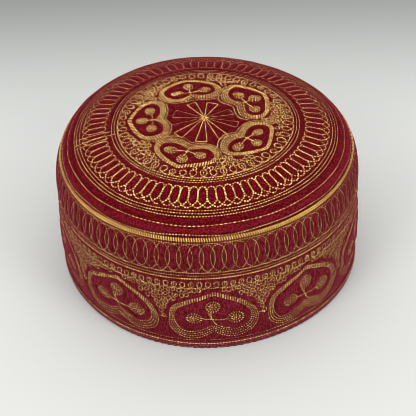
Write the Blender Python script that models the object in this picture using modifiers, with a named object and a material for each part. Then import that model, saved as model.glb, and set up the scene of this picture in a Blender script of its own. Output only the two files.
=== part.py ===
"""A round velvet kufi, 57 cm in head size: a quilted top with a rounded edge, a near-upright side band,
a gold braid over the seam between them, and a binding folded round the bottom edge.

Metres, +Z up. The cap stands on its rim, with the origin in the middle of the rim's underside.
"""

import math

import bmesh
import bpy
from mathutils import Vector

# Driving sizes
HEAD_SIZE = 0.570
WALL = 0.0027
SEAM_GAP = 0.0003
BINDING_CLOTH = 0.0008
BINDING_HEIGHT = 0.0042
BRAID_THICKNESS = 0.0023
BRAID_RADIUS = 0.0891
BRAID_HEIGHT = 0.0834

# How finely the shapes are turned
SEGMENTS = 88
STEPS_A_ROW = 2
MERGE_DISTANCE = 1e-6

# Radius and height of the outer surface, where the embroidery's rings and bands lie
HEM_RADIUS = HEAD_SIZE / (2 * math.pi) + WALL
TOP_ROWS = (
    # place on the top, radius, height
    ("middle of the star", 0.0000, 0.1005),
    ("inner rings", 0.0565, 0.0968),
    ("loop band", 0.0700, 0.0944),
    ("outer rings", 0.0802, 0.0912),
    ("edge line", 0.0840, 0.0884),
    ("edge turn", 0.0866, 0.0857),
    ("seam", 0.0874, 0.0835),
)
SIDE_ROWS = (
    # place on the side, radius, height
    ("seam", 0.0873, 0.0831),
    ("under the braid", 0.0900, 0.0797),
    ("loop band", 0.0923, 0.0700),
    ("side rings", 0.0928, 0.0570),
    ("hearts", HEM_RADIUS + 0.0012, 0.0240),
    ("hem lines", HEM_RADIUS, 0.0048),
    ("cut edge", HEM_RADIUS, BINDING_CLOTH + SEAM_GAP),
)

# The cap is sewn by hand and a little out of round: lobes round it, how far each swells, and which
# way its first lobe faces. The top and the rim differ, and the wall runs from one to the other.
TOP_LOBES = (
    # lobes, swell, facing in degrees
    (2, 0.0007, 42.0),
    (3, 0.0009, -4.0),
)
RIM_LOBES = (
    # lobes, swell, facing in degrees
    (2, 0.0010, -46.0),
    (3, 0.0010, -23.0),
    (4, 0.0007, -6.0),
)
# How far the edge of the top leans down, towards the right and towards the back
LEAN_RIGHT = 0.0010
LEAN_BACK = 0.0003
# Sideways and forward moves that bring the middle of the uneven cap's box over the origin
CENTRE_X = -0.00046
CENTRE_Y = -0.00094

VELVET_TOP = (0.155, 0.008, 0.018)
VELVET_SIDE = (0.190, 0.016, 0.032)
GOLD = (0.600, 0.340, 0.090)
BINDING_MAROON = (0.060, 0.008, 0.014)


def swell(lobes, angle):
    return sum(size * math.cos(count * (angle - math.radians(facing))) for count, size, facing in lobes)


def sewn_shape(point):
    """Where a point of a perfectly round cap lies on this slightly uneven one."""
    radius = math.hypot(point.x, point.y)
    angle = math.atan2(point.y, point.x)
    upness = min(max(point.z / BRAID_HEIGHT, 0.0), 1.0)
    share = radius / BRAID_RADIUS
    grown = radius + share * (upness * swell(TOP_LOBES, angle) + (1 - upness) * swell(RIM_LOBES, angle))
    lean = upness * share * (LEAN_RIGHT * math.cos(angle) + LEAN_BACK * math.sin(angle))
    return Vector((CENTRE_X + grown * math.cos(angle), CENTRE_Y + grown * math.sin(angle), point.z - lean))


def smooth_rows(rows):
    """Points on a smooth curve through the rows, as (radius, height)."""
    places = [(radius, height) for _, radius, height in rows]
    reach = [0.0]
    for near, far in zip(places, places[1:]):
        reach.append(reach[-1] + math.dist(near, far))

    def slope(i, axis):
        before, after = max(i - 1, 0), min(i + 1, len(places) - 1)
        return (places[after][axis] - places[before][axis]) / (reach[after] - reach[before])

    curve = []
    for i in range(len(places) - 1):
        span = reach[i + 1] - reach[i]
        for step in range(STEPS_A_ROW):
            t = step / STEPS_A_ROW
            ease = t * t * (3 - 2 * t)
            curve.append(
                tuple(
                    (1 - ease) * places[i][axis]
                    + ease * places[i + 1][axis]
                    + span * (t * (1 - t) ** 2 * slope(i, axis) - t * t * (1 - t) * slope(i + 1, axis))
                    for axis in (0, 1)
                )
            )
    return curve + [places[-1]]


def finish(name, color, roughness, metallic=0.0):
    material = bpy.data.materials.new(name)
    material.use_nodes = True
    shader = material.node_tree.nodes["Principled BSDF"]
    shader.inputs["Base Color"].default_value = (*color, 1.0)
    shader.inputs["Roughness"].default_value = roughness
    shader.inputs["Metallic"].default_value = metallic
    return material


def add_turned(name, profile, closed, material, collection):
    """Spins a profile of (radius, height) points about the cap's axis and gives it the sewn shape."""
    shape = bmesh.new()
    points = [shape.verts.new((radius, 0.0, height)) for radius, height in profile]
    edges = [shape.edges.new(pair) for pair in zip(points, points[1:])]
    if closed:
        edges.append(shape.edges.new((points[-1], points[0])))
    bmesh.ops.spin(
        shape,
        geom=points + edges,
        axis=(0.0, 0.0, 1.0),
        cent=(0.0, 0.0, 0.0),
        angle=2 * math.pi,
        steps=SEGMENTS,
        use_merge=True,
    )
    bmesh.ops.remove_doubles(shape, verts=shape.verts, dist=MERGE_DISTANCE)
    bmesh.ops.recalc_face_normals(shape, faces=shape.faces)
    if not closed:
        shape.faces.ensure_lookup_table()
        face = shape.faces[0]
        inside = Vector((0.0, 0.0, BRAID_HEIGHT / 2))
        if face.normal.dot(face.calc_center_median() - inside) < 0:
            bmesh.ops.reverse_faces(shape, faces=shape.faces)
    for vert in shape.verts:
        vert.co = sewn_shape(vert.co)
    mesh = bpy.data.meshes.new(name)
    shape.to_mesh(mesh)
    shape.free()
    mesh.materials.append(material)
    mesh.shade_smooth()
    obj = bpy.data.objects.new(name, mesh)
    collection.objects.link(obj)
    return obj


def add_shell(name, rows, material, collection):
    """A layer of quilted cloth whose outer face runs through the rows."""
    obj = add_turned(name, smooth_rows(rows), False, material, collection)
    padding = obj.modifiers.new("quilted layers", "SOLIDIFY")
    padding.thickness = WALL
    padding.offset = -1.0
    padding.use_even_offset = True
    padding.use_rim = True


def add_binding(collection):
    """A strip of cloth folded up round the bottom edge, with the edge standing inside the fold."""
    out = HEM_RADIUS + SEAM_GAP + BINDING_CLOTH
    into = HEM_RADIUS - WALL - SEAM_GAP - BINDING_CLOTH
    turn = BINDING_CLOTH / 2
    fold = (
        (into, 0.0),
        (out - turn, 0.0),
        (out, turn),
        (out, BINDING_HEIGHT),
        (out - BINDING_CLOTH, BINDING_HEIGHT),
        (out - BINDING_CLOTH, BINDING_CLOTH),
        (into + BINDING_CLOTH, BINDING_CLOTH),
        (into + BINDING_CLOTH, BINDING_HEIGHT),
        (into, BINDING_HEIGHT),
    )
    maroon = finish("bound hem", BINDING_MAROON, 0.9)
    add_turned("hem_binding", fold, True, maroon, collection)


def add_braid(collection):
    """The gold cord laid in the hollow between the top and the side."""
    path = bpy.data.curves.new("edge_braid", "CURVE")
    path.dimensions = "3D"
    path.bevel_depth = BRAID_THICKNESS / 2
    path.bevel_resolution = 2
    line = path.splines.new("POLY")
    line.points.add(SEGMENTS - 1)
    line.use_cyclic_u = True
    for i, point in enumerate(line.points):
        angle = 2 * math.pi * i / SEGMENTS
        even = Vector((BRAID_RADIUS * math.cos(angle), BRAID_RADIUS * math.sin(angle), BRAID_HEIGHT))
        point.co = (*sewn_shape(even), 1.0)
    path.materials.append(finish("gold braid", GOLD, 0.35, 1.0))
    collection.objects.link(bpy.data.objects.new("edge_braid", path))


def build():
    for obj in list(bpy.data.objects):
        bpy.data.objects.remove(obj)
    collection = bpy.data.collections.new("kufi")
    bpy.context.scene.collection.children.link(collection)
    add_shell("crown_top", TOP_ROWS, finish("top velvet", VELVET_TOP, 0.85), collection)
    add_shell("side_band", SIDE_ROWS, finish("side velvet", VELVET_SIDE, 0.85), collection)
    add_braid(collection)
    add_binding(collection)


build()
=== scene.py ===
"""The look of a round velvet kufi embroidered in gold thread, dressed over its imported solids.

Blender 4.5, metres, +Z up. The kufi stands on its rim and its front faces -Y. The velvet comes first, then the
cord and the bound hem that join it, then the embroidery from the middle of the top down to the hem.
"""

import math
import random

import bmesh
import bpy
import numpy as np
from mathutils import Matrix, Vector, noise


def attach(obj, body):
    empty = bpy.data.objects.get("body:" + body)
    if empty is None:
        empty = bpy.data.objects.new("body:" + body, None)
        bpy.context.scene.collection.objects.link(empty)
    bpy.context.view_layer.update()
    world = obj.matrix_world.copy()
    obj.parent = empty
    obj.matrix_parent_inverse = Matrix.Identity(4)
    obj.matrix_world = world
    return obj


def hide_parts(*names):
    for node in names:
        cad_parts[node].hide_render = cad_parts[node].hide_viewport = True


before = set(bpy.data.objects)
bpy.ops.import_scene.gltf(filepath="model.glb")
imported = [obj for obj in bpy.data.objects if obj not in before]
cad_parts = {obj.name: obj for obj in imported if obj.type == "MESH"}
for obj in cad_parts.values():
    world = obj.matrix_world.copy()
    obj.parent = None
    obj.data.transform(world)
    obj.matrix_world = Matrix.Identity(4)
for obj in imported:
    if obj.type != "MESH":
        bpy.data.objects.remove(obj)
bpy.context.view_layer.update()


# Camera
# It stands in front of the kufi and looks down on it at the photograph's angle, rolled a little to the left,
# and far enough away for the photograph's perspective.
PICTURE_SIDE = 416
FOCAL_LENGTH_IN_PIXELS = 1002.0
SENSOR = 36.0
EYE = Vector((-0.00013, -0.48700, 0.45653))
LOOKING_DOWN = math.radians(41.385)
ROLL = math.radians(-1.9)

camera_data = bpy.data.cameras.new("camera")
camera_data.sensor_width = SENSOR
camera_data.lens = FOCAL_LENGTH_IN_PIXELS / PICTURE_SIDE * SENSOR
camera = bpy.data.objects.new("camera", camera_data)
pitch = Matrix.Rotation(math.pi / 2 - LOOKING_DOWN, 4, "X")
camera.matrix_world = Matrix.Translation(EYE) @ pitch @ Matrix.Rotation(ROLL, 4, "Z")
bpy.context.scene.collection.objects.link(camera)
bpy.context.scene.camera = camera


# Floor
# A plain pale matt sheet that runs on behind the kufi and falls into shade there.
FLOOR_SIDE = 6.0
FLOOR_GREY = (0.480, 0.483, 0.466)
FLOOR_SHADE = (0.162, 0.165, 0.157)
SHADE_STARTS = 0.08
SHADE_ENDS = 0.40


def new_material(name):
    """An empty node material with its shader: (material, tree, shader)."""
    material = bpy.data.materials.new(name)
    material.use_nodes = True
    return material, material.node_tree, material.node_tree.nodes["Principled BSDF"]


def add_node(tree, kind, inputs=None, **settings):
    """Adds a node. Its inputs are given as values or as other nodes' sockets, by name or by number."""
    made = tree.nodes.new(kind)
    for name, value in settings.items():
        setattr(made, name, value)
    for name, value in (inputs or {}).items():
        if isinstance(value, bpy.types.NodeSocket):
            tree.links.new(value, made.inputs[name])
        else:
            made.inputs[name].default_value = value
    return made


def result(tree, kind, output, inputs=None, **settings):
    """Adds a node and gives this output of it."""
    return add_node(tree, kind, inputs, **settings).outputs[output]


def object_place(tree):
    return result(tree, "ShaderNodeTexCoord", "Object")


def mix_colours(tree, share, first, second):
    """A blend of two colours, each given as a triple or as a node's socket."""
    factor, colour_a, colour_b, mixed = 0, 6, 7, 2
    sides = [side if isinstance(side, bpy.types.NodeSocket) else (*side, 1.0) for side in (first, second)]
    blend = {factor: share, colour_a: sides[0], colour_b: sides[1]}
    return result(tree, "ShaderNodeMix", mixed, blend, data_type="RGBA")


def stretched(tree, value, low, high, top=1.0, **settings):
    """The value spread from 0 at low to top at high, and held there outside."""
    limits = {"Value": value, "From Min": low, "From Max": high, "To Max": top}
    return result(tree, "ShaderNodeMapRange", "Result", limits, **settings)


def finish_shader(tree, shader, colour, values, bump=None, inward=False):
    """Gives the shader its colour, its plain values by name, and its bump as height, strength and distance."""
    tree.links.new(colour, shader.inputs["Base Color"])
    for name, value in values.items():
        shader.inputs[name].default_value = value
    if bump:
        relief = dict(zip(("Height", "Strength", "Distance"), bump))
        tree.links.new(result(tree, "ShaderNodeBump", "Normal", relief, invert=inward), shader.inputs["Normal"])


def add_object(name, mesh, *materials):
    for material in materials:
        mesh.materials.append(material)
    obj = bpy.data.objects.new(name, mesh)
    bpy.context.scene.collection.objects.link(obj)
    return obj


paper, tree, shader = new_material("matt paper")
behind = result(tree, "ShaderNodeSeparateXYZ", "Y", {0: object_place(tree)})
shaded = stretched(tree, behind, SHADE_STARTS, SHADE_ENDS, interpolation_type="SMOOTHSTEP")
grey = mix_colours(tree, shaded, FLOOR_GREY, FLOOR_SHADE)
finish_shader(tree, shader, grey, {"Roughness": 0.9, "Specular IOR Level": 0.2})
sheet = bmesh.new()
bmesh.ops.create_grid(sheet, x_segments=1, y_segments=1, size=FLOOR_SIDE / 2)
floor_mesh = bpy.data.meshes.new("floor")
sheet.to_mesh(floor_mesh)
sheet.free()
floor = add_object("floor", floor_mesh, paper)


# Light
# A wide soft panel hangs over the kufi, two smaller ones stand before it to the left and the right, so that its
# soft shadow falls to both sides behind it, and the room is pale grey.
SOFT_PANELS = (
    # name, place, looks at, width, watts, colour
    ("overhead_panel", (-0.05, 0.10, 1.50), (0.0, 0.0, 0.05), 3.0, 34.4, (1.0, 0.985, 0.96)),
    ("left_panel", (-0.90, -0.90, 1.00), (0.0, 0.0, 0.04), 0.7, 9.4, (1.0, 0.99, 0.97)),
    ("right_panel", (0.95, -0.85, 1.00), (0.0, 0.0, 0.04), 0.7, 9.4, (1.0, 0.99, 0.97)),
)
ROOM_GREY = (0.90, 0.95, 1.0)
ROOM_STRENGTH = 0.594
PIXEL_SPREAD = 0.8

for name, spot, target, width, watts, colour in SOFT_PANELS:
    panel = bpy.data.lights.new(name, "AREA")
    panel.shape = "DISK"
    panel.size = width
    panel.energy = watts
    panel.color = colour
    lamp = bpy.data.objects.new(name, panel)
    lamp.location = spot
    lamp.rotation_euler = (Vector(target) - Vector(spot)).to_track_quat("-Z", "Y").to_euler()
    bpy.context.scene.collection.objects.link(lamp)
world = bpy.data.worlds.new("pale room")
world.use_nodes = True
world.node_tree.nodes["Background"].inputs["Color"].default_value = (*ROOM_GREY, 1.0)
world.node_tree.nodes["Background"].inputs["Strength"].default_value = ROOM_STRENGTH
bpy.context.scene.world = world
bpy.context.scene.view_settings.view_transform = "Standard"
bpy.context.scene.cycles.filter_width = PIXEL_SPREAD


# The top
# A disc of burgundy velvet over stiff cloth, domed a little and turned down at its edge, where it meets the side.
# The pile lies one way across the disc, and the inside is the plain back of the cloth.
WALL = 0.0027
HEAD_SIZE = 0.570
HEM_RADIUS = HEAD_SIZE / (2 * math.pi) + WALL
BRAID_RADIUS = 0.0891
BRAID_HEIGHT = 0.0834
TOP_ROWS = (
    # place on the top, radius, height
    ("middle of the star", 0.0000, 0.1005),
    ("inner rings", 0.0565, 0.0968),
    ("loop band", 0.0700, 0.0944),
    ("outer rings", 0.0802, 0.0912),
    ("edge line", 0.0840, 0.0884),
    ("edge turn", 0.0866, 0.0857),
    ("seam", 0.0874, 0.0835),
)
# The cap is a little out of round: lobes round it, how far each swells, and where its first lobe faces.
TOP_LOBES = ((2, 0.0007, 42.0), (3, 0.0009, -4.0))
RIM_LOBES = ((2, 0.0010, -46.0), (3, 0.0010, -23.0), (4, 0.0007, -6.0))
LEAN_RIGHT = 0.0010
LEAN_BACK = 0.0003
CENTRE_X = -0.00046
CENTRE_Y = -0.00094
STEPS_A_ROW = 16
PILE_STEP = 0.0008
TOP_SEGMENTS = 8 * 81
INNER_ROWS = 16
AT_THE_AXIS = 1e-6
TOP_PILE = 0.00056
TUFT = 0.0009
CLUMP = 6 * TUFT
CLUMPED = 0.6
PILE_STANDS = 0.75
PILE_VARIES = 0.45
TOP_NAP = (1.0, 0.6, 1.0)
VELVET_RED = (0.0650, 0.0005, 0.0016)
VELVET_SHADE = (0.0340, 0.0003, 0.0007)
VELVET_BRIGHT = (0.160, 0.0085, 0.0175)
# Painted sheen: the top's velvet is painted brighter in tufts where its edge turns down, from the first height to the
# second.
TURNED_EDGE_PAINTED_SHEEN = (0.0905, 0.0870, 1.0)
PILE_FINENESS = 1200.0
BRUSHING = 38.0
# Where on its noise each mix of colours starts and ends, and how strong the brushed patches are.
TUFT_ROOTS = (0.38, 0.50)
TUFT_TIPS = (0.50, 0.62)
BRUSHED_PATCHES = (0.48, 0.72, 0.12)
PAINTED_SHEEN_TUFTS = (0.40, 0.58)
# Painted shade: how far the velvet is darkened where stitches press its pile into grooves.
PRESSED_PAINTED_SHADE = 0.55
VELVET_FINISH = {
    "Roughness": 0.8,
    "Specular IOR Level": 0.02,
    "Sheen Weight": 0.24,
    "Sheen Roughness": 0.30,
    "Sheen Tint": (1.0, 0.15, 0.22, 1.0),
}
CLOTH_BACK = (0.084, 0.0096, 0.016)
CLOTH_BACK_THREADS = 1400
WEAVE_SHADES = (("Color1", 1.0), ("Color2", 0.75), ("Mortar", 0.35))


def swell(lobes, angle):
    return sum(size * math.cos(count * (angle - math.radians(facing))) for count, size, facing in lobes)


def sewn_shape(angle, radius, height):
    """Where a point of a perfectly round cap lies on this slightly uneven one."""
    upness = min(max(height / BRAID_HEIGHT, 0.0), 1.0)
    share = radius / BRAID_RADIUS
    grown = radius + share * (upness * swell(TOP_LOBES, angle) + (1 - upness) * swell(RIM_LOBES, angle))
    lean = upness * share * (LEAN_RIGHT * math.cos(angle) + LEAN_BACK * math.sin(angle))
    return Vector((CENTRE_X + grown * math.cos(angle), CENTRE_Y + grown * math.sin(angle), height - lean))


def smooth_rows(rows, steps):
    """Points on a smooth curve through the rows, as an array of (radius, height)."""
    places = [(radius, height) for _, radius, height in rows]
    reach = [0.0]
    for near, far in zip(places, places[1:]):
        reach.append(reach[-1] + math.dist(near, far))

    def slope(i, axis):
        before, after = max(i - 1, 0), min(i + 1, len(places) - 1)
        return (places[after][axis] - places[before][axis]) / (reach[after] - reach[before])

    curve = []
    for i in range(len(places) - 1):
        span = reach[i + 1] - reach[i]
        for step in range(steps):
            t = step / steps
            ease = t * t * (3 - 2 * t)
            point = []
            for axis in (0, 1):
                straight = (1 - ease) * places[i][axis] + ease * places[i + 1][axis]
                bend = t * (1 - t) ** 2 * slope(i, axis) - t * t * (1 - t) * slope(i + 1, axis)
                point.append(straight + span * bend)
            curve.append(point)
    return np.array(curve + [list(places[-1])])


def even_steps(line, step):
    """The same line with its points about one step apart."""
    reach = np.concatenate([[0.0], np.cumsum(np.linalg.norm(np.diff(line, axis=0), axis=1))])
    at = np.linspace(0.0, reach[-1], max(2, round(reach[-1] / step) + 1))
    return np.stack([np.interp(at, reach, line[:, axis]) for axis in (0, 1)], axis=1)


def inner_face(line, wall):
    """The line moved in by the wall's thickness, square to itself."""
    along = np.gradient(line, axis=0)
    across = np.stack([along[:, 1], -along[:, 0]], axis=1)
    return line + across / np.linalg.norm(across, axis=1)[:, None] * wall


def full_turn(count):
    """The angles of this many equal steps round the cap, with the first again at the end."""
    return [2 * math.pi * i / count for i in range(count + 1)]


def spin_cloth(name, outer, inner, segments, materials):
    """Turns a wall's outer and inner line about the cap's axis and closes it, with its inside in a second material."""
    rows = np.concatenate([outer, inner[::-1]])
    turn = full_turn(segments)[:-1]
    shape = bmesh.new()
    rings = []
    for radius, height in rows:
        if radius < AT_THE_AXIS:
            rings.append([shape.verts.new(sewn_shape(0.0, 0.0, height))] * segments)
        else:
            rings.append([shape.verts.new(sewn_shape(angle, radius, height)) for angle in turn])
    closed = rows[0, 0] > AT_THE_AXIS
    for row in range(len(rings) - (not closed)):
        near, far = rings[row], rings[(row + 1) % len(rings)]
        for i in range(segments):
            j = (i + 1) % segments
            face = shape.faces.new(dict.fromkeys((near[i], far[i], far[j], near[j])))
            face.smooth = True
            face.material_index = int(row >= len(outer))
    bmesh.ops.recalc_face_normals(shape, faces=shape.faces)
    mesh = bpy.data.meshes.new(name)
    shape.to_mesh(mesh)
    shape.free()
    return add_object(name, mesh, *materials)


# How far stitches can draw down each cloth's surface.
pile_of = {}


def raise_pile(cloth, pile):
    """Lifts the outer face by the pile, which stands unevenly, tuft by tuft."""
    pile_of[cloth] = pile
    outer = {corner for face in cloth.data.polygons if face.material_index == 0 for corner in face.vertices}
    lifts = []
    for i in outer:
        vert = cloth.data.vertices[i]
        tuft = noise.noise(vert.co / TUFT) + CLUMPED * noise.noise(vert.co / CLUMP)
        lifts.append((vert, vert.normal * pile * (PILE_STANDS + PILE_VARIES * tuft)))
    for vert, lift in lifts:
        vert.co += lift


def calculated(tree, operation, first, second=0.0):
    return result(tree, "ShaderNodeMath", 0, {0: first, 1: second}, operation=operation)


def mottling(tree, place, scale, detail=2.0, roughness=0.5):
    grain = {"Vector": place, "Scale": scale, "Detail": detail, "Roughness": roughness}
    return result(tree, "ShaderNodeTexNoise", "Fac", grain)


def noted_value(tree, name, output="Fac"):
    """What the mesh notes under this name, for a material."""
    return result(tree, "ShaderNodeAttribute", output, attribute_name=name)


def velvet(name, red, shade, bright, nap, turned):
    """Short pile: fine mottling along the nap, painted sheen in tufts over a band of height, and painted shade where
    stitches press the pile down.
    """
    material, tree, shader = new_material(name)
    place = object_place(tree)
    lay = result(tree, "ShaderNodeMapping", "Vector", {"Vector": place, "Scale": nap})
    tufts = mottling(tree, lay, PILE_FINENESS, 3.0, 0.7)
    pile = mix_colours(tree, stretched(tree, tufts, *TUFT_ROOTS), shade, red)
    tips = mix_colours(tree, stretched(tree, tufts, *TUFT_TIPS), pile, bright)
    patches = stretched(tree, mottling(tree, lay, BRUSHING), *BRUSHED_PATCHES)
    patchy = mix_colours(tree, patches, tips, bright)
    # Painted sheen: brighter tufts over the band of height given by turned.
    turn = stretched(tree, result(tree, "ShaderNodeSeparateXYZ", "Z", {0: place}), *turned)
    painted_sheen = calculated(tree, "MULTIPLY", turn, stretched(tree, tufts, *PAINTED_SHEEN_TUFTS))
    # Painted shade in the grooves where the stitches press the pile down.
    low = stretched(tree, noted_value(tree, "pressed"), 0.0, 1.0, PRESSED_PAINTED_SHADE)
    colour = mix_colours(tree, low, mix_colours(tree, painted_sheen, patchy, bright), shade)
    finish_shader(tree, shader, colour, VELVET_FINISH, (tufts, 0.8, 0.0006))
    return material


def plain_cloth(name, colour, threads_per_metre):
    """A plain weave of matt thread, for the back of the cloth."""
    material, tree, shader = new_material(name)
    weave = add_node(tree, "ShaderNodeTexBrick", {"Vector": object_place(tree), "Scale": threads_per_metre / 2})
    for part, share in WEAVE_SHADES:
        weave.inputs[part].default_value = (*[share * value for value in colour], 1.0)
    matt = {"Roughness": 0.9, "Specular IOR Level": 0.15}
    finish_shader(tree, shader, weave.outputs["Color"], matt, (weave.outputs["Fac"], 0.4, 0.0002), inward=True)
    return material


top_line = smooth_rows(TOP_ROWS, STEPS_A_ROW)
top_velvet = velvet("top velvet", VELVET_RED, VELVET_SHADE, VELVET_BRIGHT, TOP_NAP, TURNED_EDGE_PAINTED_SHEEN)
cloth_back = plain_cloth("back of the cloth", CLOTH_BACK, CLOTH_BACK_THREADS)
under_line = inner_face(top_line, WALL)
under_line[0, 0] = 0.0
velvet_top = spin_cloth(
    "velvet_top",
    even_steps(top_line, PILE_STEP),
    even_steps(under_line, top_line[-1, 0] / INNER_ROWS),
    TOP_SEGMENTS,
    (top_velvet, cloth_back),
)
raise_pile(velvet_top, TOP_PILE)
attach(velvet_top, "root")
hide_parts("crown_top")


# The side
# One strip of the same velvet over stiff cloth, closed to a ring, a little barrelled, with its pile lying downwards.
# Its top edge meets the top under the gold cord, and its bottom edge stands in the bound hem.
SIDE_ROWS = (
    # place on the side, radius, height
    ("seam", 0.0873, 0.0831),
    ("under the braid", 0.0900, 0.0797),
    ("loop band", 0.0923, 0.0700),
    ("side rings", 0.0928, 0.0570),
    ("hearts", HEM_RADIUS + 0.0012, 0.0240),
    ("hem lines", HEM_RADIUS, 0.0048),
    ("cut edge", HEM_RADIUS, 0.0011),
)
SIDE_SEGMENTS = 8 * 92
SIDE_PILE = 0.00060
SIDE_RED = (0.106, 0.0050, 0.0092)
SIDE_SHADE = (0.056, 0.0020, 0.0038)
SIDE_BRIGHT = (0.195, 0.0170, 0.0300)
SIDE_NAP = (1.0, 1.0, 0.35)
# Painted sheen: the side's velvet is painted brighter in tufts from the first height down to the second, up to the
# third share.
BULGE_PAINTED_SHEEN = (0.0640, 0.0400, 0.35)

side_line = smooth_rows(SIDE_ROWS, STEPS_A_ROW)
side_velvet = velvet("side velvet", SIDE_RED, SIDE_SHADE, SIDE_BRIGHT, SIDE_NAP, BULGE_PAINTED_SHEEN)
velvet_side = spin_cloth(
    "velvet_side",
    even_steps(side_line, PILE_STEP),
    even_steps(inner_face(side_line, WALL), BRAID_HEIGHT / INNER_ROWS),
    SIDE_SEGMENTS,
    (side_velvet, cloth_back),
)
raise_pile(velvet_side, SIDE_PILE)
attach(velvet_side, "root")
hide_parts("side_band")


# The gold cord
# A firm core laid in the groove between the top and the side, and oversewn round and round with gold metal
# thread, so that it shows as a row of short bars across it.
CORD_IN = 0.0006
CORD_DOWN = 0.0008
CORD_RADIUS = 0.00045
CORD_WRAPS = 400
WRAP_RADIUS = 0.00086
WRAP_WIDTH = 0.00068
WRAP_HEIGHT = 0.00066
WRAP_BEND = 3.5
WRAP_LEAN = math.radians(14)
OUT_TO_UP = 0.062
CORD_SHOWN = 0.25
CORD_METAL = 0.20
CORD_DEEP = (0.72, 0.34, 0.050)
CORD_LIGHT = (1.00, 0.72, 0.20)
CORE_BLACK = (0.0, 0.0, 0.0)
CORE_BROWN = (0.030, 0.005, 0.002)
CORE_FINENESS = 2500.0
# Painted sheen: the pink of the pile's sheen, mixed over the thread where the pile covers it.
PILE_PAINTED_SHEEN = (0.42, 0.060, 0.085)
TWIST = 9.0
THREAD_FINENESS = 480.0
# Where each mix of the thread's colours starts and ends, and how strong it is.
DULLED = (0.52, 0.38, 0.8)
GROOVED = (0.2, 1.0, 0.15)
SHEEN_COVERED = (1.0, 0.3, 0.5)
# The share of the thread that is sunk at the sides, from and to which angle off the front, and over how much.
SIDE_SUNK = 0.42
SUNK_FROM = 42.0
SUNK_TO = 150.0
SUNK_OVER = 25.0
CLOSED_WITHIN = 1e-9


def gold_thread(name, deep, light, metal):
    """Twisted metal thread: each stitch has its own tone and twist, and where it is sunk the pile lies over it,
    painted in the pink of the pile's sheen.
    """
    material, tree, shader = new_material(name)
    along = add_node(tree, "ShaderNodeSeparateXYZ", {0: noted_value(tree, "grain", "Vector")}).outputs
    slant = calculated(tree, "ADD", along["X"], along["Y"])
    twist = calculated(tree, "SINE", calculated(tree, "MULTIPLY", slant, TWIST))
    uneven = mottling(tree, object_place(tree), THREAD_FINENESS, 1.0)
    colour = mix_colours(tree, noted_value(tree, "tone"), deep, light)
    dulled = mix_colours(tree, stretched(tree, uneven, *DULLED), colour, deep)
    grooved = mix_colours(tree, stretched(tree, twist, *GROOVED), dulled, deep)
    # The pile over the sunk thread: partly real cover, partly painted sheen.
    sheen_covered = mix_colours(tree, stretched(tree, noted_value(tree, "shown"), *SHEEN_COVERED), grooved, PILE_PAINTED_SHEEN)
    gloss = {"Metallic": metal, "Roughness": 0.22, "Specular IOR Level": 0.5}
    finish_shader(tree, shader, sheen_covered, gloss, (twist, 0.25, 0.0001))
    return material


def new_geometry_tree(name, **inputs):
    """A geometry node tree with inputs named by kind: (tree, the inputs' sockets, the output node)."""
    tree = bpy.data.node_groups.new(name, "GeometryNodeTree")
    tree.interface.new_socket("Geometry", in_out="OUTPUT", socket_type="NodeSocketGeometry")
    for kind, names in {"Geometry": ("Geometry",), **inputs}.items():
        for socket in names:
            tree.interface.new_socket(socket, in_out="INPUT", socket_type="NodeSocket" + kind)
    return tree, tree.nodes.new("NodeGroupInput").outputs, tree.nodes.new("NodeGroupOutput")


def random_value(tree, low, high, seed, salt=0):
    """A random number for each point or instance. The salt sets it apart from the tree's other chances."""
    minimum, maximum, seed_in, number_out = 2, 3, 8, 1
    limits = {minimum: low, maximum: high, seed_in: calculated(tree, "ADD", seed, 100 * salt)}
    return result(tree, "FunctionNodeRandomValue", number_out, limits, data_type="FLOAT")


def work_nodes(obj, tree, **values):
    """Runs a geometry node tree on an object with these inputs, and keeps the result as its plain mesh."""
    modifier = obj.modifiers.new(tree.name, "NODES")
    modifier.node_group = tree
    for item in tree.interface.items_tree:
        given = item.name.replace(" ", "_")
        if item.in_out == "INPUT" and given in values:
            modifier[item.identifier] = values[given]
    depsgraph = bpy.context.evaluated_depsgraph_get()
    worked = obj.evaluated_get(depsgraph)
    before = obj.data
    made = bpy.data.meshes.new_from_object(worked, preserve_all_data_layers=True, depsgraph=depsgraph)
    obj.modifiers.clear()
    obj.data = made
    bpy.data.meshes.remove(before)
    return obj


def line_object(name, lines):
    """An object of bare edges along the lines. A line that ends where it starts is closed."""
    points, edges = [], []
    for line in lines:
        closed = (line[0] - line[-1]).length < CLOSED_WITHIN
        first = len(points)
        points += line[:-1] if closed else line
        last = len(points) - 1
        edges += [(i, i + 1) for i in range(first, last)]
        if closed:
            edges.append((last, first))
    mesh = bpy.data.meshes.new(name)
    mesh.from_pydata(points, edges, [])
    return add_object(name, mesh)


def shown_on_side(place):
    """The thread lies deeper in the pile to the left and the right of the front: the share of it that shows."""
    off = abs((math.degrees(math.atan2(place.y, place.x)) + 270.0) % 360.0 - 180.0)
    return 1 - SIDE_SUNK * min(max((off - SUNK_FROM) / SUNK_OVER, 0.0), max((SUNK_TO - off) / SUNK_OVER, 0.0), 1.0)


def shown_on_cord(place):
    return CORD_SHOWN + (1 - CORD_SHOWN) * shown_on_side(place)


def note_shown(obj, shown):
    """Notes on each point of an object's lines how much of the thread shows there."""
    shares = [shown(vert.co) for vert in obj.data.vertices]
    obj.data.attributes.new("shown", "FLOAT", "POINT").data.foreach_set("value", shares)
    return obj


def vector_sum(tree, operation, first, second):
    return result(tree, "ShaderNodeVectorMath", "Vector", {0: first, 1: second}, operation=operation)


def own_value(tree, name):
    """What the mesh notes under this name, for a geometry tree."""
    return result(tree, "GeometryNodeInputNamedAttribute", "Attribute", {"Name": name}, data_type="FLOAT")


def with_note(tree, geometry, name, value, domain="POINT", kind="FLOAT"):
    """The geometry with the value noted on it under this name."""
    note = {"Geometry": geometry, "Name": name, "Value": value}
    return result(tree, "GeometryNodeStoreNamedAttribute", "Geometry", note, data_type=kind, domain=domain)


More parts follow.
